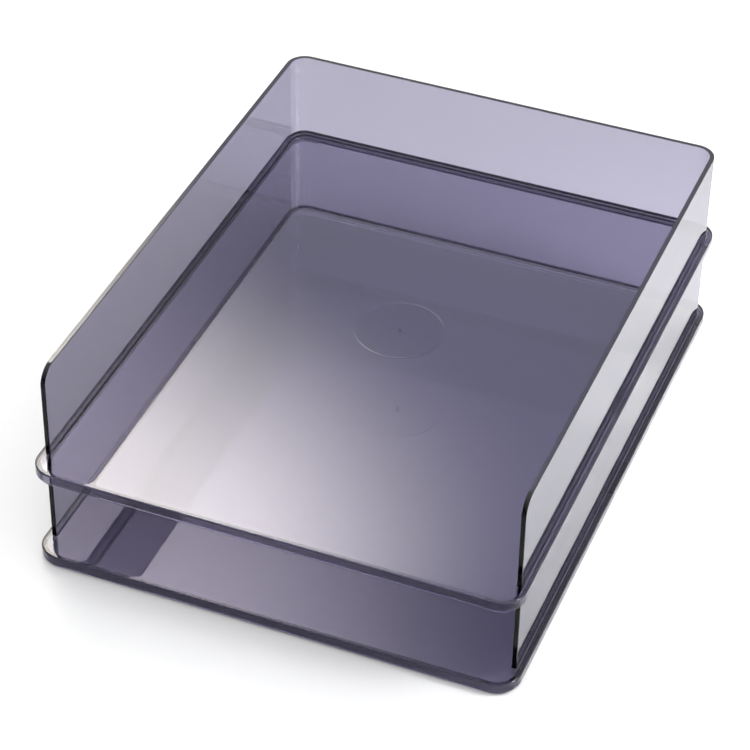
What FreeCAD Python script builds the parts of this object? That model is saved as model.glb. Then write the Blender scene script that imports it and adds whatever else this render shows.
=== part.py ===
import FreeCAD, Part
import os
from FreeCAD import Vector

# Two stackable letter trays, one standing on the other.
#
# Frame: millimetres, +Z up, -Y is the open front, X runs across. The origin is on the table, under
# the middle of the rim. Both trays come from one mould, so one function builds the moulding and
# the upper tray is that moulding raised by the stacking pitch.

# ---------------------------------------------------------------- driving dimensions

WALL_WIDTH = 250.0          # across the outer faces of the side walls
WALL_T = 2.5                # side and back walls
WALL_CORNER_R = 11.0        # outer radius of the two back corners, seen from above

RIM_OUT = 3.5               # how far the rim stands out beyond the walls
RIM_DEPTH = 332.5           # rim, front edge to back edge
RIM_CORNER_R = 13.0         # rim corners, seen from above
RIM_TOP_R = 0.8             # edge radius along the top of the rim
RIM_BOTTOM_R = 1.4          # edge radius along the bottom of the rim
FRONT_SETBACK = 14.6        # from the rim's front edge to the side walls' front edges

FOOT_H = 1.0                # feet below the rest of the rim
RIM_H = 6.4                 # rim, from its underside to the floor's top face
FLOOR_T = 2.0               # floor plate
WALL_H = 52.0               # walls above the floor's top face

CORNER_FOOT = 18.0          # length of a corner foot along each side, from the rim's outer face
SIDE_FOOT = 26.0            # length of the foot in the middle of each side

NEST_GAP = 0.4              # between the rim's inner face and the walls it drops over
WALL_END_R = 10.0           # rounding of the side walls' top front corners
ROOT_R = 0.8                # fillet between the walls and the floor, inside
EDGE_R = 0.35               # broken edges along the walls' tops and front ends

GATE_Y = 10.0               # moulding gate, behind the middle of the rim
GATE_PAD_R = 23.5           # shallow round pad around the gate, under the floor
GATE_PAD_H = 0.3
GATE_R = 1.3                # gate stub at the middle of the pad
GATE_H = 0.6

# ---------------------------------------------------------------- worked out from them

RIM_WIDTH = WALL_WIDTH + 2 * RIM_OUT
FLOOR_TOP = FOOT_H + RIM_H
FLOOR_UNDER = FLOOR_TOP - FLOOR_T
WALL_TOP = FLOOR_TOP + WALL_H
PITCH = WALL_TOP - FLOOR_UNDER          # the upper floor's underside rests on the wall tops

Y_RIM_FRONT = -RIM_DEPTH / 2
Y_RIM_BACK = RIM_DEPTH / 2
Y_WALL_BACK = Y_RIM_BACK - RIM_OUT
Y_WALL_FRONT = Y_RIM_FRONT + FRONT_SETBACK


def rounded_block(half_x, y_front, y_back, r_front, r_back, z_low, z_high):
    """Upright block whose plan is a rectangle with rounded corners (r_front may be 0)."""
    points = []
    edges = []
    s = 2 ** 0.5 / 2

    def arc(cx, cy, r, a, b):
        # quarter turn from direction a to direction b about (cx, cy)
        p = Vector(cx + r * a[0], cy + r * a[1], z_low)
        q = Vector(cx + r * b[0], cy + r * b[1], z_low)
        m = Vector(cx + r * s * (a[0] + b[0]), cy + r * s * (a[1] + b[1]), z_low)
        points.append((p, m, q))

    def sharp(x, y):
        p = Vector(x, y, z_low)
        points.append((p, None, p))

    right, front, left, back = (1, 0), (0, -1), (-1, 0), (0, 1)
    if r_front > 0:
        arc(-half_x + r_front, y_front + r_front, r_front, left, front)
        arc(half_x - r_front, y_front + r_front, r_front, front, right)
    else:
        sharp(-half_x, y_front)
        sharp(half_x, y_front)
    arc(half_x - r_back, y_back - r_back, r_back, right, back)
    arc(-half_x + r_back, y_back - r_back, r_back, back, left)

    for i, (p, m, q) in enumerate(points):
        if m is not None:
            edges.append(Part.Arc(p, m, q).toShape())
        nxt = points[(i + 1) % len(points)][0]
        edges.append(Part.makeLine(q, nxt))
    face = Part.Face(Part.Wire(edges))
    return face.extrude(Vector(0, 0, z_high - z_low))


def edges_at(shape, z, keep=None):
    """Edges that lie wholly at height z, optionally filtered by keep(edge)."""
    found = []
    for edge in shape.Edges:
        box = edge.BoundBox
        if abs(box.ZMin - z) < 1e-4 and abs(box.ZMax - z) < 1e-4:
            if keep is None or keep(edge):
                found.append(edge)
    return found


def rim_and_floor():
    """Floor plate with the rim hanging from its edge, and the feet under the rim."""
    half = RIM_WIDTH / 2
    slab = rounded_block(half, Y_RIM_FRONT, Y_RIM_BACK, RIM_CORNER_R, RIM_CORNER_R, FOOT_H, FLOOR_TOP)
    slab = slab.makeFillet(RIM_TOP_R, edges_at(slab, FLOOR_TOP))
    slab = slab.makeFillet(RIM_BOTTOM_R, edges_at(slab, FOOT_H))

    # the feet follow the rim's outline, set in by the bottom radius so they meet flat plastic
    inset = RIM_BOTTOM_R
    ring = rounded_block(
        half - inset, Y_RIM_FRONT + inset, Y_RIM_BACK - inset,
        RIM_CORNER_R - inset, RIM_CORNER_R - inset, 0, FOOT_H + 1.0,
    )
    ring = ring.makeFillet(0.3, edges_at(ring, 0))
    zones = []
    reach = CORNER_FOOT
    for sx in (-1, 1):
        for sy in (-1, 1):
            x0 = sx * half if sx < 0 else half - reach
            y0 = Y_RIM_FRONT if sy < 0 else Y_RIM_BACK - reach
            zones.append(Part.makeBox(reach, reach, FOOT_H + 1.0, Vector(x0, y0, 0)))
        x0 = -half if sx < 0 else half - 8.0
        y_mid = (Y_WALL_FRONT + Y_WALL_BACK) / 2
        zones.append(Part.makeBox(8.0, SIDE_FOOT, FOOT_H + 1.0, Vector(x0, y_mid - SIDE_FOOT / 2, 0)))
    feet = ring.common(zones[0].multiFuse(zones[1:]))
    body = slab.fuse(feet)

    # the hollow under the floor: the walls of the tray below stand in it
    in_x = WALL_WIDTH / 2 + NEST_GAP
    hollow = rounded_block(
        in_x, Y_RIM_FRONT + RIM_OUT - NEST_GAP, Y_WALL_BACK + NEST_GAP,
        WALL_CORNER_R + NEST_GAP, WALL_CORNER_R + NEST_GAP, -1.0, FLOOR_UNDER,
    )
    body = body.cut(hollow)

    pad = Part.makeCylinder(GATE_PAD_R, GATE_PAD_H + 0.5, Vector(0, GATE_Y, FLOOR_UNDER - GATE_PAD_H))
    stub = Part.makeCylinder(GATE_R, GATE_H + 0.5, Vector(0, GATE_Y, FLOOR_UNDER - GATE_PAD_H - GATE_H))
    return body.fuse([pad, stub])


def walls():
    """Left, back and right walls as one strip with rounded back corners and a root fillet."""
    half = WALL_WIDTH / 2
    low = FLOOR_TOP - 0.6
    outer = rounded_block(half, Y_WALL_FRONT, Y_WALL_BACK, 0, WALL_CORNER_R, low, WALL_TOP)
    in_r = WALL_CORNER_R - WALL_T
    inner = rounded_block(
        half - WALL_T, Y_WALL_FRONT - 20, Y_WALL_BACK - WALL_T, 0, in_r, FLOOR_TOP, WALL_TOP + 5,
    )
    root = edges_at(inner, FLOOR_TOP, keep=lambda e: e.BoundBox.YMax > Y_WALL_FRONT - 19.9)
    inner = inner.makeFillet(ROOT_R, root)
    strip = outer.cut(inner)

    # round the top front corner of both side walls
    r = WALL_END_R
    corner = Part.makeBox(WALL_WIDTH + 10, r + 5, r + 5, Vector(-half - 5, Y_WALL_FRONT - 5, WALL_TOP - r))
    axis_at = Vector(-half - 6, Y_WALL_FRONT + r, WALL_TOP - r)
    corner = corner.cut(Part.makeCylinder(r, WALL_WIDTH + 12, axis_at, Vector(1, 0, 0)))
    keep_out = Part.makeBox(WALL_WIDTH + 20, r + 6, r + 6, Vector(-half - 10, Y_WALL_FRONT + r, WALL_TOP - r))
    corner = corner.cut(keep_out)
    strip = strip.cut(corner)

    # break the long edges along the top, round the corners and down the front ends
    def outline(edge):
        if edge.Length < WALL_T + 0.5:
            return False
        box = edge.BoundBox
        on_top = abs(box.ZMin - WALL_TOP) < 1e-4
        in_front = box.YMax < Y_WALL_FRONT + r + 1e-3 and box.ZMax > FLOOR_TOP + 5 and box.XLength < 0.01
        return on_top or in_front

    return strip.makeFillet(EDGE_R, [e for e in strip.Edges if outline(e)])


def tray(z):
    """One complete moulding with its feet at height z."""
    shape = rim_and_floor().fuse(walls()).removeSplitter()
    shape.translate(Vector(0, 0, z))
    return shape


os.makedirs("parts", exist_ok=True)
PARTS = {
    "lower_tray": tray(0.0),
    "upper_tray": tray(PITCH),
}
for name, shape in PARTS.items():
    shape.exportStep("parts/%s.step" % name)
    box = shape.BoundBox
    print(
        name, "valid", shape.isValid(), "solids", len(shape.Solids), "faces", len(shape.Faces),
        "volume cm3 %.1f" % (shape.Volume / 1000),
        "size %.1f x %.1f x %.1f" % (box.XLength, box.YLength, box.ZLength), "z0 %.2f" % box.ZMin,
    )
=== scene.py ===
# %% [markdown]
# # Two stackable letter trays in smoky clear plastic
#
# The object is a pair of desk trays from one mould, the second standing on the walls of the first.
# Each is a single injection moulding: a thin floor, a rim that hangs down around it, and three walls.
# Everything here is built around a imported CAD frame. The frame says where each tray stands and which
# body it moves with, and this lesson gives the trays their finished surfaces, their plastic, a table
# to stand on and the light to see them by.

import math

import bmesh
import bpy
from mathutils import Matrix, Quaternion, Vector


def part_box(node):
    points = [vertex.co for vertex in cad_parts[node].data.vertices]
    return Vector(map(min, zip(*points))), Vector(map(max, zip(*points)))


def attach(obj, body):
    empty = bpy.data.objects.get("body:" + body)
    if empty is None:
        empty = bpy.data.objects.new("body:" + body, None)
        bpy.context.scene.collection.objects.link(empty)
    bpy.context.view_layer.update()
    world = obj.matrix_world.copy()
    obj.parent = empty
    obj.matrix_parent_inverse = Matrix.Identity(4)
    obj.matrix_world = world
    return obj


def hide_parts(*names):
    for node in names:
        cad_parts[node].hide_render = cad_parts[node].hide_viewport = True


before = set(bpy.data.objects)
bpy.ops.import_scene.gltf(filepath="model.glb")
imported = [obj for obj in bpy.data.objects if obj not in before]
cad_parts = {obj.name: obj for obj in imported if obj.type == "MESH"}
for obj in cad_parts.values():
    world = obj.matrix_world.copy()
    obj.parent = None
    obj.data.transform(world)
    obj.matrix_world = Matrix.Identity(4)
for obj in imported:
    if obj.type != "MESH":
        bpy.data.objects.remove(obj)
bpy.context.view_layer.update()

# %% [markdown]
# ## Sizes
#
# The mould's sizes come first, in metres. The outside of the tray is read from the frame, so the
# mesh can't drift away from the solid that the physics uses. The smaller sizes, such as the wall's
# thickness and the radius of each edge, are written here once and handed to the node tree by name.

# %% Read the outside of a tray, and name the rest
MM = 0.001
tray_low, tray_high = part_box("lower_tray")
upper_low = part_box("upper_tray")[0]

RIM_WIDTH = tray_high.x - tray_low.x
RIM_DEPTH = tray_high.y - tray_low.y
TRAY_HEIGHT = tray_high.z - tray_low.z
PITCH = upper_low.z - tray_low.z

SIZES = {
    "Rim Width": RIM_WIDTH,
    "Rim Depth": RIM_DEPTH,
    "Rim Corner": 13.0 * MM,
    "Rim Thickness": 3.1 * MM,
    "Rim Top Edge": 0.8 * MM,
    "Rim Bottom Edge": 1.4 * MM,
    "Rim Overhang": 3.5 * MM,
    "Foot Height": 1.0 * MM,
    "Corner Foot": 18.0 * MM,
    "Side Foot": 26.0 * MM,
    "Floor Top": 7.4 * MM,
    "Floor Thickness": 2.0 * MM,
    "Wall Top": TRAY_HEIGHT,
    "Wall Thickness": 2.5 * MM,
    "Wall Corner": 11.0 * MM,
    "Wall Edge": 0.35 * MM,
    "Root Fillet": 0.8 * MM,
    "Front Setback": 14.6 * MM,
    "End Round": 10.0 * MM,
    "Gate Offset": 10.0 * MM,
    "Gate Pad Radius": 23.5 * MM,
    "Gate Pad Height": 0.3 * MM,
    "Gate Radius": 1.3 * MM,
    "Gate Height": 0.6 * MM,
    "Raise": 0.0,
}
print("rim %.1f x %.1f mm, tray %.1f mm high, stacked every %.1f mm"
      % (RIM_WIDTH / MM, RIM_DEPTH / MM, TRAY_HEIGHT / MM, PITCH / MM))

# %% [markdown]
# ## A short way to write node trees
#
# A node tree is easier to read when its sums look like sums. This small class adds nodes to a tree,
# wires whatever it is given (a number or another node's output) into their inputs, and names the
# arithmetic that the trays need.

# %% A helper for building node trees
class Tree:
    def __init__(self, name):
        self.group = bpy.data.node_groups.new(name, "GeometryNodeTree")
        self.nodes = self.group.nodes
        self.source = self.nodes.new("NodeGroupInput")
        self.sink = self.nodes.new("NodeGroupOutput")

    def give(self, name, kind, default=None):
        """Adds a named input and returns its output in the tree."""
        socket = self.group.interface.new_socket(name, in_out="INPUT", socket_type=kind)
        if default is not None:
            socket.default_value = default
        return self.source.outputs[socket.identifier]

    def put(self, kind, out=0, settings=None, **inputs):
        """Adds a node, wires its inputs by name or by position (i0, i1), and returns one output."""
        node = self.nodes.new(kind)
        for key, value in (settings or {}).items():
            setattr(node, key, value)
        for key, value in inputs.items():
            by_place = key[0] == "i" and key[1:].isdigit()
            socket = node.inputs[int(key[1:])] if by_place else node.inputs[key.replace("_", " ")]
            self.feed(value, socket)
        return node.outputs[out]

    def feed(self, value, socket):
        for item in value if isinstance(value, list) else [value]:
            if isinstance(item, bpy.types.NodeSocket):
                self.group.links.new(item, socket)
            else:
                socket.default_value = item

    def math(self, operation, a, b=0.0):
        return self.put("ShaderNodeMath", settings={"operation": operation}, i0=a, i1=b)

    def add(self, a, b):
        return self.math("ADD", a, b)

    def sub(self, a, b):
        return self.math("SUBTRACT", a, b)

    def mul(self, a, b):
        return self.math("MULTIPLY", a, b)

    def half(self, a):
        return self.mul(a, 0.5)

    def vec(self, x=0.0, y=0.0, z=0.0):
        return self.put("ShaderNodeCombineXYZ", i0=x, i1=y, i2=z)

    def xyz(self, axis):
        position = self.put("GeometryNodeInputPosition")
        return self.put("ShaderNodeSeparateXYZ", out="XYZ".index(axis), i0=position)

    def test(self, operation, a, b):
        return self.put("FunctionNodeCompare", settings={"data_type": "FLOAT", "operation": operation},
                        i0=a, i1=b)

    def both(self, a, b):
        return self.put("FunctionNodeBooleanMath", settings={"operation": "AND"}, i0=a, i1=b)

    def either(self, a, b):
        return self.put("FunctionNodeBooleanMath", settings={"operation": "OR"}, i0=a, i1=b)


print("a tree can now take", len(SIZES), "sizes and do sums with them")

# %% [markdown]
# ## Two ways to draw
#
# Everything on a tray is either a section dragged along a path or a disc. A section is a polygon with
# its own rounding at every corner. Blender has no node for that, so a circle with as many points as
# the polygon has corners is taken, each point is moved to its place by its index, and Fillet Curve
# rounds each corner by its own radius. Curve to Mesh does the dragging.


# %% Draw a rounded polygon, and drag a section along a path
class MouldTree(Tree):
    def pick(self, index, kind, values):
        """Gives each point the value that its index points to."""
        node = self.nodes.new("GeometryNodeIndexSwitch")
        node.data_type = kind
        while len(node.index_switch_items) < len(values):
            node.index_switch_items.new()
        self.feed(index, node.inputs["Index"])
        for i, value in enumerate(values):
            self.feed(value, node.inputs[i + 1])
        return node.outputs[0]

    def polygon(self, points, radii, closed=True, steps=6):
        """A curve through (x, y) points, with its own corner radius at each of them."""
        ring = self.put("GeometryNodeCurvePrimitiveCircle", settings={"mode": "RADIUS"},
                        Resolution=len(points))
        index = self.put("GeometryNodeInputIndex")
        places = self.pick(index, "VECTOR", [self.vec(x, y) for x, y in points])
        ring = self.put("GeometryNodeSetPosition", Geometry=ring, Position=places)
        ring = self.put("GeometryNodeSetSplineCyclic", Geometry=ring, Cyclic=closed)
        rounds = self.pick(index, "FLOAT", radii)
        return self.put("GeometryNodeFilletCurve", settings={"mode": "POLY"},
                        Curve=ring, Count=steps, Radius=rounds)

    def sweep(self, path, section, caps):
        """Drags a section along a path. In the section, +x points outwards and +y points down."""
        return self.put("GeometryNodeCurveToMesh", Curve=path, Profile_Curve=section, Fill_Caps=caps)


moulding = MouldTree("letter_tray_moulding")
moulding.group.interface.new_socket("Geometry", in_out="OUTPUT", socket_type="NodeSocketGeometry")
size = {name: moulding.give(name, "NodeSocketFloat", value) for name, value in SIZES.items()}
plastic_input = moulding.give("Plastic", "NodeSocketMaterial")
print("the tree has", len(size), "named sizes")

# %% [markdown]
# ## The rim and the floor
#
# The rim of a tray is a short skirt with the same section all the way round: a soft top edge, an
# upright outside, a rounder bottom edge and an upright inside. That is a sweep, so the section is
# drawn once and dragged round a rounded rectangle. Bevelling a hollow box would come close, but its
# four edges would be hard to give four different roundings. The sweep leaves two open loops, one at
# the floor's top face and one at its underside. Filling both turns skirt and floor into one closed
# body with no seam inside it, which matters in clear plastic: light would show every inner face.

# %% The outline that the rim follows
t = moulding
floor_top, foot_h = size["Floor Top"], size["Foot Height"]
floor_under = t.sub(floor_top, size["Floor Thickness"])
rim_in = t.mul(size["Rim Thickness"], -1.0)


def rim_outline(inset, steps=14):
    """The rim's outline seen from above, moved inwards by inset."""
    width = t.sub(size["Rim Width"], t.mul(inset, 2.0))
    depth = t.sub(size["Rim Depth"], t.mul(inset, 2.0))
    box = t.put("GeometryNodeCurvePrimitiveQuadrilateral", settings={"mode": "RECTANGLE"},
                Width=width, Height=depth)
    return t.put("GeometryNodeFilletCurve", settings={"mode": "POLY"}, Curve=box, Count=steps,
                 Radius=t.sub(size["Rim Corner"], inset))


print("rim outline: a rounded rectangle, %.0f mm at its corners" % (SIZES["Rim Corner"] / MM))


# %% Sweep the rim's section round it
def down(height):
    return t.mul(height, -1.0)


# near its edge the floor's face falls away a little before the real rounding starts, in mm
FALL = ((5.2, 0.0), (4.2, 0.004), (3.2, 0.018), (2.4, 0.042), (1.7, 0.078))
rim_section = t.polygon(
    [(-inwards * MM, down(t.sub(floor_top, drop * MM))) for inwards, drop in FALL] + [
        (0.0, down(t.sub(floor_top, 0.2 * MM))),
        (0.0, down(foot_h)),
        (rim_in, down(foot_h)),
        (rim_in, down(floor_under)),
    ],
    [0.0] * len(FALL) + [size["Rim Top Edge"], size["Rim Bottom Edge"], 0.0, 0.0],
    closed=False,
)
skirt = t.sweep(rim_outline(0.0), rim_section, caps=False)
print("rim section:", len(FALL) + 4, "corners")

# %% Fill the skirt's two loops to make the floor
open_edge = t.test("EQUAL", t.put("GeometryNodeInputMeshEdgeNeighbors"), 1.0)
mid_floor = t.half(t.add(floor_top, floor_under))


def close_loop(above, height, flip):
    """Fills the skirt's open loop that is above or below the middle of the floor."""
    side = t.test("GREATER_THAN" if above else "LESS_THAN", t.xyz("Z"), mid_floor)
    loop = t.put("GeometryNodeMeshToCurve", Mesh=skirt, Selection=t.both(open_edge, side))
    face = t.put("GeometryNodeFillCurve", settings={"mode": "NGONS"}, Curve=loop)
    if flip:
        face = t.put("GeometryNodeFlipFaces", Mesh=face)
    return t.put("GeometryNodeTransform", Geometry=face, Translation=t.vec(0.0, 0.0, height))


body = t.put("GeometryNodeJoinGeometry", Geometry=[
    skirt, close_loop(True, floor_top, False), close_loop(False, floor_under, True)])
WELD = 0.002 * MM
body = t.put("GeometryNodeMergeByDistance", Geometry=body, Distance=WELD)
print("rim and floor: one section, one path, two filled loops")

# %% [markdown]
# ## The feet
#
# Between its feet the rim is relieved by a millimetre, so a tray that isn't perfectly flat still
# stands firmly. A foot is a low ridge under the rim at each corner and halfway along each side. Two
# of them could be plain bars, but the other four go round a corner, so all of them come from the rim's
# own outline: it is cut into short steps, the steps outside the foot zones are deleted, and a small
# section is dragged along what is left.

# %% Cut the rim's outline down to the six feet
foot_width = t.sub(size["Rim Thickness"], size["Rim Bottom Edge"])
foot_middle = t.add(size["Rim Bottom Edge"], t.half(foot_width))
foot_path = t.put("GeometryNodeResampleCurve", settings={"mode": "LENGTH"},
                  Curve=rim_outline(foot_middle), Length=1.0 * MM)
foot_steps = t.put("GeometryNodeCurveToMesh", Curve=foot_path)

x_from_side = t.sub(t.half(size["Rim Width"]), t.math("ABSOLUTE", t.xyz("X")))
y_from_end = t.sub(t.half(size["Rim Depth"]), t.math("ABSOLUTE", t.xyz("Y")))
in_corner = t.both(t.test("LESS_THAN", x_from_side, size["Corner Foot"]),
                   t.test("LESS_THAN", y_from_end, size["Corner Foot"]))
wall_front = t.sub(size["Front Setback"], t.half(size["Rim Depth"]))
wall_back = t.sub(t.half(size["Rim Depth"]), size["Rim Overhang"])
wall_centre = t.half(t.add(wall_front, wall_back))
from_centre = t.math("ABSOLUTE", t.sub(t.xyz("Y"), wall_centre))
on_side = t.both(t.test("LESS_THAN", from_centre, t.half(size["Side Foot"])),
                 t.test("LESS_THAN", x_from_side, size["Corner Foot"]))
spare = t.put("FunctionNodeBooleanMath", settings={"operation": "NOT"},
              i0=t.either(in_corner, on_side))
foot_steps = t.put("GeometryNodeDeleteGeometry", settings={"domain": "POINT"},
                   Geometry=foot_steps, Selection=spare)
foot_lines = t.put("GeometryNodeMeshToCurve", Mesh=foot_steps)
print("foot zones: %.0f mm at the corners, %.0f mm at the sides"
      % (SIZES["Corner Foot"] / MM, SIZES["Side Foot"] / MM))

# %% Drag the feet's section along what is left
half_foot = t.half(foot_width)
into_rim = t.add(foot_h, 0.5 * MM)
foot_section = t.polygon(
    [
        (t.mul(half_foot, -1.0), down(into_rim)),
        (half_foot, down(into_rim)),
        (half_foot, 0.0),
        (t.mul(half_foot, -1.0), 0.0),
    ],
    [0.0, 0.0, 0.3 * MM, 0.3 * MM],
    steps=3,
)
feet = t.sweep(foot_lines, foot_section, caps=True)
print("feet: six ridges on the rim's own path")

# %% [markdown]
# ## The walls
#
# The three walls are one strip of even thickness that runs down one side, round the back and up the
# other side. Three plates would need a rounded joint at each back corner; one sweep along an open
# path has the corners in it already. The section has a broken edge on either side of its top, and it
# flares at the bottom into the small fillet that a moulding has where a wall meets the floor.
#
# At the front each side wall ends upright, with its top corner rounded. A sweep can't do that by
# itself, so the points near the end are moved by a rule afterwards: the closer a point is to the
# front, the further the top comes down, along a quarter circle. For that the path needs more points
# near its ends, and they are spread so that each covers the same angle of that circle.

# %% Draw the walls' path
end_r = size["End Round"]
path_x = t.half(t.sub(size["Rim Width"], t.mul(size["Rim Overhang"], 2.0)))
left_x = t.mul(path_x, -1.0)
END_STEPS = 12
round_from = t.add(wall_front, end_r)
wall_path = t.polygon(
    [
        (path_x, wall_front),
        (path_x, round_from),
        (path_x, wall_back),
        (left_x, wall_back),
        (left_x, round_from),
        (left_x, wall_front),
    ],
    [0.0, 0.0, size["Wall Corner"], size["Wall Corner"], 0.0, 0.0],
    closed=False, steps=32,
)
print("wall path: one side, the back and the other side, %.1f mm behind the rim's front"
      % (SIZES["Front Setback"] / MM))

# %% Give it extra points where the ends are rounded
# a segment is cut where it starts inside the rounded stretch; the left one starts at its far end
side_sign = t.math("SIGN", t.xyz("X"))
starts_at = t.add(t.xyz("Y"), t.mul(side_sign, 0.01 * MM))
cuts = t.mul(t.test("LESS_THAN", starts_at, round_from), float(END_STEPS - 1))
wall_path = t.put("GeometryNodeSubdivideCurve", Curve=wall_path, Cuts=cuts)

# spread the extra points: equal steps of angle instead of equal steps of length
along = t.math("DIVIDE", t.sub(t.xyz("Y"), wall_front), end_r)
angle = t.mul(along, math.pi / 2)
spread = t.add(wall_front, t.mul(end_r, t.sub(1.0, t.math("COSINE", angle))))
near_end = t.test("LESS_THAN", along, 0.9999)
wall_path = t.put("GeometryNodeSetPosition", Geometry=wall_path, Selection=near_end,
                  Position=t.vec(t.xyz("X"), spread, 0.0))
print("wall path:", END_STEPS, "steps round each front corner")

# %% Drag the walls' section along the path
thick = size["Wall Thickness"]
wall_top = size["Wall Top"]
sink_in = t.sub(floor_top, 0.03 * MM)      # the flare ends just under the floor's face
bury_to = t.sub(floor_top, 0.7 * MM)       # and its root goes down into the floor
flare_out = 0.45 * MM
flare_in = t.mul(t.add(thick, t.add(size["Root Fillet"], 0.15 * MM)), -1.0)
inner_x = t.mul(thick, -1.0)
wall_section = t.polygon(
    [
        (inner_x, down(wall_top)),
        (0.0, down(wall_top)),
        (0.0, down(sink_in)),
        (flare_out, down(sink_in)),
        (flare_out, down(bury_to)),
        (flare_in, down(bury_to)),
        (flare_in, down(sink_in)),
        (inner_x, down(sink_in)),
    ],
    [size["Wall Edge"], size["Wall Edge"], 0.3 * MM, 0.0, 0.0, 0.0, 0.0, size["Root Fillet"]],
    steps=4,
)
walls = t.sweep(wall_path, wall_section, caps=True)
print("wall section: %.1f mm thick, up to %.1f mm"
      % (SIZES["Wall Thickness"] / MM, SIZES["Wall Top"] / MM))

# %% Round the top front corners
gone = t.sub(t.xyz("Y"), wall_front)       # distance from the front end
left_over = t.math("MAXIMUM", t.sub(end_r, gone), 0.0)
drop = t.sub(end_r, t.math("SQRT", t.sub(t.mul(end_r, end_r), t.mul(left_over, left_over))))
is_top = t.test("GREATER_THAN", t.xyz("Z"), t.half(t.add(wall_top, floor_top)))
walls = t.put("GeometryNodeSetPosition", Geometry=walls, Selection=is_top,
              Offset=t.vec(0.0, 0.0, t.mul(drop, -1.0)))
print("wall ends: top corners rounded by %.0f mm" % (SIZES["End Round"] / MM))

# %% Break the upright front edges
edge_r = size["Wall Edge"]
edge_left = t.math("MAXIMUM", t.sub(edge_r, gone), 0.0)
pinch = t.sub(edge_r, t.math("SQRT", t.sub(t.mul(edge_r, edge_r), t.mul(edge_left, edge_left))))
centre_x = t.sub(path_x, t.half(thick))
off_centre = t.sub(t.math("ABSOLUTE", t.xyz("X")), centre_x)
share = t.math("DIVIDE", off_centre, t.half(thick))
pinched = t.sub(t.math("ABSOLUTE", t.xyz("X")), t.mul(share, pinch))
new_x = t.mul(t.math("SIGN", t.xyz("X")), pinched)
walls = t.put("GeometryNodeSetPosition", Geometry=walls,
              Position=t.vec(new_x, t.xyz("Y"), t.xyz("Z")))
print("walls: one strip, with its front ends shaped by a rule")

# %% [markdown]
# ## The gate mark
#
# Plastic enters this mould through the middle of the underside. The mark it leaves is a round pad
# a few tenths of a millimetre thick, with a broken stub at its centre. The thicker spot shrinks a
# little as it cools, so on the upper face a hair-thin ring and a small dimple's rim answer to it. Seen
# from above, they are a faint circle around a dot. Pad and stub are cylinders and the rings are small
# sweeps, which is all that such faint marks need.

# %% The pad and the stub on the underside
def disc(radius, depth, top, steps):
    plug = t.put("GeometryNodeMeshCylinder", Vertices=steps, Radius=radius, Depth=depth)
    return t.put("GeometryNodeTransform", Geometry=plug,
                 Translation=t.vec(0.0, size["Gate Offset"], t.sub(top, t.half(depth))))


buried = 0.5 * MM
pad_top = t.add(floor_under, buried)
pad_depth = t.add(size["Gate Pad Height"], buried)
pad = disc(size["Gate Pad Radius"], pad_depth, pad_top, 96)
stub = disc(size["Gate Radius"], t.add(size["Gate Height"], pad_depth), pad_top, 24)
print("gate pad: %.0f mm across, %.1f mm thick"
      % (2 * SIZES["Gate Pad Radius"] / MM, SIZES["Gate Pad Height"] / MM))


# %% The two low rings on the upper face
def low_ring(radius, width, height, steps):
    """A rounded hump of a ring that stands on the floor's face and roots into it."""
    path = t.put("GeometryNodeCurvePrimitiveCircle", settings={"mode": "RADIUS"},
                 Resolution=steps, Radius=radius)
    half_w, root = width / 2, 0.3 * MM
    hump = [(-half_w, root), (-half_w, 0.0), (-half_w * 0.5, -height * 0.75), (0.0, -height),
            (half_w * 0.5, -height * 0.75), (half_w, 0.0), (half_w, root)]
    section = t.polygon(hump, [0.0] * len(hump), steps=1)
    ring = t.sweep(path, section, caps=False)
    return t.put("GeometryNodeTransform", Geometry=ring,
                 Translation=t.vec(0.0, size["Gate Offset"], floor_top))


RING_WIDTH = 0.7 * MM
WITNESS_HEIGHT, DIMPLE_HEIGHT = 0.035 * MM, 0.16 * MM
witness = low_ring(size["Gate Pad Radius"], RING_WIDTH, WITNESS_HEIGHT, 128)
dimple = low_ring(0.75 * MM, RING_WIDTH, DIMPLE_HEIGHT, 24)
print("two rings, %.3f and %.2f mm high" % (WITNESS_HEIGHT / MM, DIMPLE_HEIGHT / MM))

# %% [markdown]
# ## One skin
#
# The parts of the moulding overlap, and a union makes one skin of them. Two clear bodies that only
# overlap would look wrong, because each hidden face would bend the light once more. Edges that turn
# by more than a third of a right angle stay crisp, and the rest are smooth.

# %% Join the parts and set which edges stay crisp
CRISP_FROM = math.radians(30.0)
skin = t.put("GeometryNodeMeshBoolean", settings={"operation": "UNION", "solver": "EXACT"},
             Mesh_2=[body, walls, feet, pad, stub, witness, dimple])
skin = t.put("GeometryNodeMergeByDistance", Geometry=skin, Distance=WELD)
skin = t.put("GeometryNodeTransform", Geometry=skin, Translation=t.vec(0.0, 0.0, size["Raise"]))
smooth = t.put("GeometryNodeSetShadeSmooth", settings={"domain": "FACE"}, Geometry=skin,
               Shade_Smooth=True)
crisp = t.test("GREATER_THAN", t.put("GeometryNodeInputMeshEdgeAngle"), CRISP_FROM)
skin = t.put("GeometryNodeSetShadeSmooth", settings={"domain": "EDGE"}, Geometry=smooth,
             Selection=crisp, Shade_Smooth=False)
print("one union of seven parts, crisp from %.0f degrees" % math.degrees(CRISP_FROM))
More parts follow.
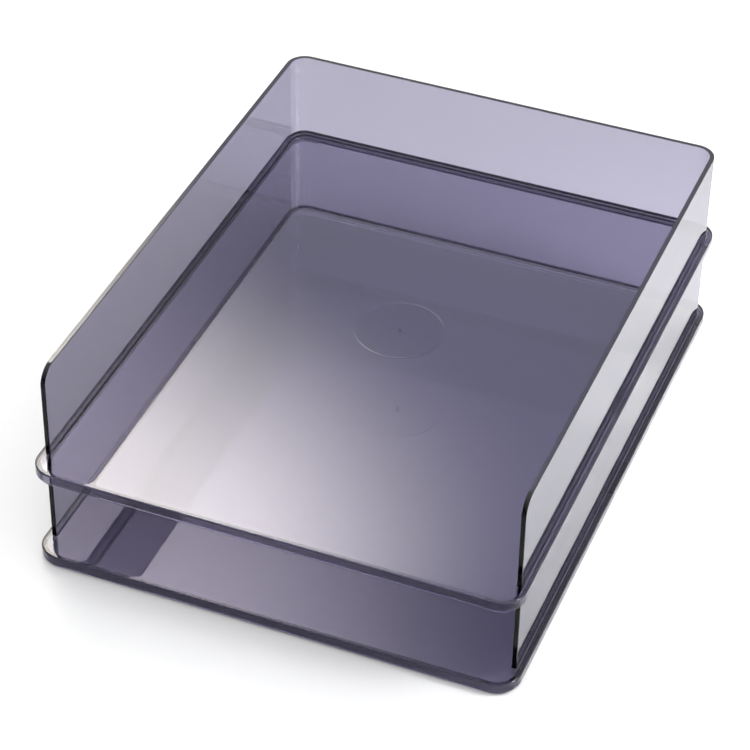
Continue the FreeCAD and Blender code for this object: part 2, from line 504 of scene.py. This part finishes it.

# %% [markdown]
# ## Remember which faces look forward
#
# The walls' narrow ends and the front of the rim look straight forward, and further on they get
# painted shade: their mirroring is turned down, standing in for a room that is darker in front of the
# trays than the table is. A second material would cut the clear body's one skin in two and confuse the
# light inside it. So each face keeps one number instead: how squarely it looks forward, from 0 on the
# sides and the undersides to 1 on the wall ends. A named attribute carries this mask for the painted
# shade from the tree to the material, and the mesh takes it along.

# %% Store how squarely each face looks forward, and hand over the tree
NOT_YET, SQUARELY = -0.35, -0.9           # the normal's y, from a little forward to nearly straight
DOWNWARD, LEVEL = -0.45, -0.15            # the normal's z, from sloping down to nearly upright
facing = t.put("GeometryNodeInputNormal")
forward = t.put("ShaderNodeMapRange", Value=t.put("ShaderNodeSeparateXYZ", out=1, i0=facing),
                i1=NOT_YET, i2=SQUARELY, i3=0.0, i4=1.0)
not_down = t.put("ShaderNodeMapRange", Value=t.put("ShaderNodeSeparateXYZ", out=2, i0=facing),
                 i1=DOWNWARD, i2=LEVEL, i3=0.0, i4=1.0)
# the stored number is the mask for the painted shade on the forward faces
skin = t.put("GeometryNodeStoreNamedAttribute", settings={"data_type": "FLOAT", "domain": "FACE"},
             Geometry=skin, Name="end_face", Value=t.math("MULTIPLY", forward, not_down))
skin = t.put("GeometryNodeRealizeInstances", Geometry=skin)
skin = t.put("GeometryNodeSetMaterial", Geometry=skin, Material=plastic_input)
t.feed(skin, t.sink.inputs[0])
print("the moulding's tree has", len(t.nodes), "nodes")

# %% [markdown]
# ## From the tree to two plain meshes
#
# Both trays use the same tree. The upper one only asks for a different "Raise", the height of one
# tray in the stack. The Weighted Normal modifier lets the large flat faces set the shading next to
# them, so the rounded edges don't bend the reflections in the flats. Last, the result is turned into
# a plain mesh, because the export wants real faces, not a recipe.

# %% Run the tree once for each tray
plastic = bpy.data.materials.new("smoky_clear_plastic")    # mixed further on


def make_moulding(name, node, body, raise_by):
    """Runs the moulding's tree once and gives back a plain mesh object riding on its body."""
    recipe = bpy.data.objects.new(name + "_recipe", bpy.data.meshes.new(name + "_seed"))
    bpy.context.scene.collection.objects.link(recipe)
    nodes_step = recipe.modifiers.new("moulding", "NODES")
    nodes_step.node_group = moulding.group
    wanted = dict(SIZES, Raise=raise_by, Plastic=plastic)
    for item in moulding.group.interface.items_tree:
        if item.item_type == "SOCKET" and item.in_out == "INPUT":
            nodes_step[item.identifier] = wanted[item.name]
    flats_first = recipe.modifiers.new("flats first", "WEIGHTED_NORMAL")
    flats_first.keep_sharp = True
    flats_first.weight = 100

    ready = recipe.evaluated_get(bpy.context.evaluated_depsgraph_get())
    mesh = bpy.data.meshes.new_from_object(ready)
    mesh.name = name
    bpy.data.objects.remove(recipe)
    piece = bpy.data.objects.new(name, mesh)
    bpy.context.scene.collection.objects.link(piece)
    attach(piece, body)
    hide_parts(node)
    return piece


trays = [
    make_moulding("lower_tray_moulding", "lower_tray", "lower", 0.0),
    make_moulding("upper_tray_moulding", "upper_tray", "upper", PITCH),
]
print("made:", [tray.name for tray in trays])

# %% [markdown]
# ## Measure what came out
#
# A clear body has to be closed: light that enters through one face must find another to leave by,
# and the dye is only reckoned between the two. So the open edges are counted, and the volume is worth
# a look too, since a shape that is inside out has a negative one.


# %% Count the open edges and weigh the plastic
def measure(piece):
    shape = bmesh.new()
    shape.from_mesh(piece.data)
    open_edges = sum(1 for edge in shape.edges if not edge.is_manifold)
    volume = shape.calc_volume(signed=True) * 1e6
    shape.free()
    print("%s: %d faces, %d open edges, %.1f cubic cm"
          % (piece.name, len(piece.data.polygons), open_edges, volume))


for tray in trays:
    measure(tray)

# %% [markdown]
# ## The plastic
#
# Smoky trays are polystyrene with a little grey-violet dye all through it. Two things make them
# what they are. The surface is polished and bends light strongly (an index of 1.58, more than
# window glass), and the dye takes light away along the whole path inside. So a wall seen straight
# through is only tinted, and one seen along its length or on its edge is nearly black. A colour on the
# surface can't do that, so the dye is a Volume Absorption.
#
# A moulding that people handle isn't perfect: the polish carries faint smears and hair-fine
# scratches, and the large faces are very slightly wavy. Those go in roughness and bump.

# %% A short way to add shader nodes
plastic.use_nodes = True
shade = plastic.node_tree
shade.nodes.clear()


def shader(kind, inputs=None, **settings):
    node = shade.nodes.new(kind)
    for key, value in settings.items():
        setattr(node, key, value)
    for key, value in (inputs or {}).items():
        if isinstance(value, bpy.types.NodeSocket):
            shade.links.new(value, node.inputs[key])
        else:
            node.inputs[key].default_value = value
    return node


place = shader("ShaderNodeTexCoord").outputs["Object"]
print("an empty material, with patterns placed by", place.name, "coordinates")

# %% Smears and fine scratches in the polish
POLISHED = 0.015
smears = shader("ShaderNodeTexNoise", {"Vector": place, "Scale": 22.0, "Detail": 4.0,
                                       "Roughness": 0.6})
streaks_place = shader("ShaderNodeMapping", {"Vector": place, "Rotation": (0.0, 0.0, 0.5),
                                             "Scale": (1.0, 14.0, 1.0)})
scratches = shader("ShaderNodeTexNoise", {"Vector": streaks_place.outputs[0], "Scale": 90.0,
                                          "Detail": 3.0})
smear_amount = shader("ShaderNodeMapRange", {"Value": smears.outputs[0], "From Min": 0.45,
                                             "From Max": 0.75, "To Min": 0.0, "To Max": 0.05})
scratch_amount = shader("ShaderNodeMapRange", {"Value": scratches.outputs[0], "From Min": 0.62,
                                               "From Max": 0.78, "To Min": 0.0, "To Max": 0.05})
polish = shader("ShaderNodeMath", {0: smear_amount.outputs[0], 1: scratch_amount.outputs[0]},
                operation="ADD")
polish = shader("ShaderNodeMath", {0: polish.outputs[0], 1: POLISHED}, operation="ADD")
print("roughness: %.3f where it is clean, up to %.3f" % (POLISHED, POLISHED + 0.1))

# %% Slightly wavy faces, and a breath of dust
flow = shader("ShaderNodeTexNoise", {"Vector": place, "Scale": 9.0, "Detail": 2.0})
wavy = shader("ShaderNodeBump", {"Height": flow.outputs[0], "Strength": 0.004,
                                 "Distance": 0.1 * MM})
dust_cloud = shader("ShaderNodeTexNoise", {"Vector": place, "Scale": 14.0, "Detail": 2.0})
dust = shader("ShaderNodeMix", {0: dust_cloud.outputs[0], 6: (0.985, 0.98, 0.99, 1.0),
                                7: (1.0, 1.0, 1.0, 1.0)}, data_type="RGBA")
print("dust dims the surface by two hundredths at most")

# %% [markdown]
# ## The ends of the walls
#
# A wall's narrow front end is almost black, because whoever looks into it looks along the wall
# through a lot of dye, and because a room is darker in front of the trays than the table is. The
# front of the rim is dark for the same reason. A dark panel in front would do that too, but it would
# shade the table. So that darker room is painted in as shade: the number that the tree stored turns
# the mirroring down on the faces that look forward, through Specular Tint.

# %% Painted shade: turn the mirroring down where a face looks forward
end_face = shader("ShaderNodeAttribute", attribute_name="end_face")
# painted shade: forward faces keep about a seventh of their mirroring, for the darker room in front
painted_front_shade = shader("ShaderNodeMix", {0: end_face.outputs["Fac"], 6: (1.0, 1.0, 1.0, 1.0),
                                     7: (0.15, 0.15, 0.16, 1.0)}, data_type="RGBA")
print("wall ends keep about a seventh of the gloss")

# %% Put the surface and the dye together
surface = shader("ShaderNodeBsdfPrincipled", {
    "Base Color": dust.outputs[2], "Roughness": polish.outputs[0], "Normal": wavy.outputs[0],
    "IOR": 1.58, "Transmission Weight": 1.0, "Specular Tint": painted_front_shade.outputs[2]})
DYE_COLOUR = (0.39, 0.365, 0.505, 1.0)
DYE_DENSITY = 590.0
dye = shader("ShaderNodeVolumeAbsorption", {"Color": DYE_COLOUR, "Density": DYE_DENSITY})
shader("ShaderNodeOutputMaterial", {"Surface": surface.outputs[0], "Volume": dye.outputs[0]})
taken = [(1.0 - colour) * DYE_DENSITY * MM for colour in DYE_COLOUR[:3]]
print(plastic.name, "has", len(shade.nodes), "nodes")
print("the dye takes, for each mm of red, green and blue:", [round(amount, 2) for amount in taken])

# %% [markdown]
# ## The table
#
# Clear things show what lies under them, so the table matters as much as the plastic. It is plain,
# matt and nearly white, and so wide that its edge is never seen. A tenth of a millimetre below the
# feet is near enough to touch, and far enough that no two faces share a plane.

# %% A plain pale table
half_table = 8.0
table_drop = 0.1 * MM
table_mesh = bpy.data.meshes.new("table")
table_mesh.from_pydata([(x * half_table, y * half_table, -table_drop)
                        for x, y in ((-1, -1), (1, -1), (1, 1), (-1, 1))], [], [(0, 1, 2, 3)])
table = bpy.data.objects.new("table", table_mesh)
bpy.context.scene.collection.objects.link(table)
table_paint = bpy.data.materials.new("pale_table")
table_paint.use_nodes = True
paint = table_paint.node_tree.nodes["Principled BSDF"]
paint.inputs["Base Color"].default_value = (0.97, 0.97, 0.965, 1.0)
paint.inputs["Roughness"].default_value = 1.0
paint.inputs["Specular IOR Level"].default_value = 0.0
table_mesh.materials.append(table_paint)
print("table: %.0f m square, %.1f mm under the feet" % (2 * half_table, table_drop / MM))

# %% [markdown]
# ## The light
#
# Most of the light is soft and even and comes from all round, as in a white room. A picture of a
# room wrapped round the scene would give that too, but its lamps and windows would show in every
# clear wall, so the world is one plain colour, and three softboxes add the rest.
#
# The largest stands behind the stack on its left and draws the bright soft patch on the upper floor.
# Next to it hangs a wide, dim and bluish one, like a window. The rest of the floor mirrors that one,
# which keeps the floor's violet from turning grey. A small one at the right is aimed at the
# right-hand wall, to lift it from the table. Cloth in front of a lamp is brightest in the middle, so
# all three fade towards their edges, and nothing that they draw has a hard outline.

# %% Even light from all round
scene = bpy.context.scene
world = bpy.data.worlds.new("studio")
scene.world = world
world.use_nodes = True
air = world.node_tree
sky = air.nodes["Background"]
sky.inputs["Color"].default_value = (0.97, 0.975, 0.98, 1.0)
sky.inputs["Strength"].default_value = 1.06
print("even light, strength", round(sky.inputs["Strength"].default_value, 2))


# %% Fade a lamp towards its edges
def fade_edges(lamp, soft):
    """Makes a square lamp dimmer within the given share of its width from each edge."""
    lamp.use_nodes = True
    cloth = lamp.node_tree
    glow = cloth.nodes["Emission"]
    across = cloth.nodes.new("ShaderNodeNewGeometry")
    split = cloth.nodes.new("ShaderNodeSeparateXYZ")
    cloth.links.new(across.outputs["Parametric"], split.inputs[0])
    faded = None
    for axis in ("X", "Y"):
        centred = cloth.nodes.new("ShaderNodeMath")
        centred.operation = "PINGPONG"
        cloth.links.new(split.outputs[axis], centred.inputs[0])
        centred.inputs[1].default_value = 0.5
        edge = cloth.nodes.new("ShaderNodeMapRange")
        edge.interpolation_type = "SMOOTHSTEP"
        cloth.links.new(centred.outputs[0], edge.inputs["Value"])
        edge.inputs["From Max"].default_value = soft
        if faded is None:
            faded = edge
        else:
            both_ways = cloth.nodes.new("ShaderNodeMath")
            both_ways.operation = "MULTIPLY"
            cloth.links.new(faded.outputs[0], both_ways.inputs[0])
            cloth.links.new(edge.outputs[0], both_ways.inputs[1])
            faded = both_ways
    cloth.links.new(faded.outputs[0], glow.inputs["Strength"])


print("a lamp can fade towards its edges")


# %% Make a softbox
def softbox(name, azimuth, elevation, roll, distance, side, radiance, colour, soft,
            aim=(0.0, 0.0, 0.0), spread=180.0):
    """A square light facing the trays. Azimuth is from +y towards +x; angles are in degrees."""
    lamp = bpy.data.lights.new(name, "AREA")
    lamp.shape = "SQUARE"
    lamp.size = side
    lamp.energy = radiance * math.pi * side * side
    lamp.color = colour
    lamp.spread = math.radians(spread)
    fade_edges(lamp, soft)

    a, e = math.radians(azimuth), math.radians(elevation)
    towards = Vector((math.sin(a) * math.cos(e), math.cos(a) * math.cos(e), math.sin(e)))
    holder = bpy.data.objects.new(name, lamp)
    scene.collection.objects.link(holder)
    holder.location = towards * distance
    towards = (holder.location - Vector(aim)).normalized()
    turn = towards.to_track_quat("Z", "Y") @ Quaternion((0.0, 0.0, 1.0), math.radians(roll))
    holder.rotation_euler = turn.to_euler()
    holder.visible_camera = False
    print("%s: %.1f m wide, %.1f m away, %.0f degrees up" % (name, side, distance, elevation))


# %% Set up the softboxes
WARM, PLAIN, COOL = (1.0, 0.95, 0.86), (0.98, 0.98, 1.0), (0.41, 0.37, 1.0)
RIGHT_WALL = (0.17, 0.08, 0.0)
softbox("softbox_back_left", azimuth=-36.8, elevation=47.0, roll=-41.0, distance=2.4, side=1.2,
        radiance=9.0, colour=WARM, soft=0.42)
softbox("softbox_right", azimuth=85.0, elevation=38.0, roll=0.0, distance=0.75, side=0.4,
        radiance=2.5, colour=PLAIN, soft=0.2, aim=RIGHT_WALL, spread=55.0)
softbox("softbox_back_cool", azimuth=-19.8, elevation=44.4, roll=0.0, distance=2.57, side=1.6,
        radiance=0.88, colour=COOL, soft=0.45)

# %% [markdown]
# ## The camera
#
# A long lens from a metre and a half away looks down on the stack from its front right. It keeps the
# trays' sides nearly parallel, as in a catalogue. Width, height and depth all show, and so does the
# gap under each rim. The small shifts only centre the stack in the frame.

# %% Aim the camera
lens_data = bpy.data.cameras.new("camera")
lens_data.sensor_width = 36.0
lens_data.lens = 131.201
lens_data.shift_x = -0.00634
lens_data.shift_y = 0.00375
lens_data.clip_start = 0.01
camera = bpy.data.objects.new("camera", lens_data)
scene.collection.objects.link(camera)
camera.location = (0.398544, -1.053451, 0.941645)
camera.rotation_euler = (0.893511, -0.015202, 0.379555)
scene.camera = camera
print("camera: %.0f mm lens, %.2f m from the stack" % (lens_data.lens, camera.location.length))

# %% [markdown]
# ## Colour and bounces
#
# The Standard view shows a colour as it was mixed, so the table stays white and the dye keeps its
# violet. Light that reaches the table through both floors crosses four faces, then four more on its
# way back, and in a rim it turns several times. So clear plastic needs many more bounces than most
# things do, or it turns black where they run out.

# %% Colours as they are, and enough bounces for clear plastic
scene.view_settings.view_transform = "Standard"
CLEAR_BOUNCES = 24
scene.cycles.max_bounces = CLEAR_BOUNCES
scene.cycles.transmission_bounces = CLEAR_BOUNCES
scene.cycles.glossy_bounces = CLEAR_BOUNCES // 2
print("bounces:", CLEAR_BOUNCES)
